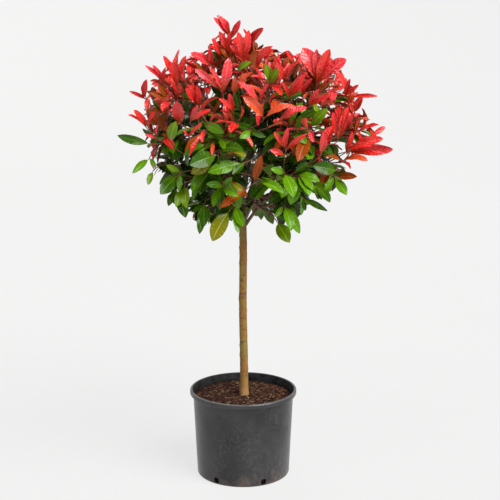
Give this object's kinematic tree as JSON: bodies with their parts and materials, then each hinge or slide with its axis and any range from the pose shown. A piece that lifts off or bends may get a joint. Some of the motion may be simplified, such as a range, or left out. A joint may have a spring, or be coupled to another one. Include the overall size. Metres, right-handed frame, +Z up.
{
  "type": "potted photinia standard",
  "caption": "Small evergreen shrub grown as a standard: round leafy head, red above and green below, on a clear stem in a round pot filled with bark compost.",
  "frame": {"origin": "centre of the pot's flat underside", "axes": "+Z up along the stem, -Y towards the side that the picture shows, +X to its right"},
  "size_m": [0.703, 0.6141, 1.1818],
  "materials": {
    "pot": "matte, lightly scuffed",
    "compost": "loose bark and fibre",
    "bark": "smooth young bark",
    "twig": "dark young wood",
    "leaf_green": "glossy leaves",
    "leaf_red": "glossy young leaves"
  },
  "bodies": {
    "root": {"pot": "pot", "compost": "compost", "trunk": "bark", "bough_1": "twig", "bough_1_lower_limb": "twig", "bough_1_upper_limb": "twig", "bough_2": "twig", "bough_2_lower_limb": "twig", "bough_2_upper_limb": "twig", "bough_3": "twig", "bough_3_lower_limb": "twig", "bough_3_upper_limb": "twig", "bough_4": "twig", "bough_4_lower_limb": "twig", "bough_4_upper_limb": "twig", "bough_5": "twig", "bough_5_lower_limb": "twig", "bough_5_upper_limb": "twig", "bough_6": "twig", "bough_6_lower_limb": "twig", "bough_6_upper_limb": "twig", "leader_1": "twig", "leader_1_left_limb": "twig", "leader_1_right_limb": "twig", "leader_2": "twig", "leader_2_left_limb": "twig", "leader_2_right_limb": "twig", "leader_3": "twig", "leader_3_left_limb": "twig", "leader_3_right_limb": "twig", "foliage_skirt_1": "leaf_green", "foliage_skirt_2": "leaf_green", "foliage_skirt_3": "leaf_green", "foliage_skirt_4": "leaf_green", "foliage_skirt_5": "leaf_green", "foliage_skirt_6": "leaf_green", "foliage_lower_1": "leaf_green", "foliage_lower_2": "leaf_green", "foliage_lower_3": "leaf_green", "foliage_lower_4": "leaf_green", "foliage_lower_5": "leaf_green", "foliage_lower_6": "leaf_green", "foliage_middle_1": "leaf_red", "foliage_middle_2": "leaf_red", "foliage_middle_3": "leaf_red", "foliage_middle_4": "leaf_red", "foliage_middle_5": "leaf_red", "foliage_middle_6": "leaf_red", "foliage_upper_1": "leaf_red", "foliage_upper_2": "leaf_red", "foliage_upper_3": "leaf_red", "foliage_upper_4": "leaf_red", "foliage_upper_5": "leaf_red", "foliage_upper_6": "leaf_red", "foliage_crest_1": "leaf_red", "foliage_crest_2": "leaf_red", "foliage_crest_3": "leaf_red", "foliage_inner_1": "leaf_green", "foliage_inner_2": "leaf_green", "foliage_inner_3": "leaf_green"}
  },
  "joints": []
}
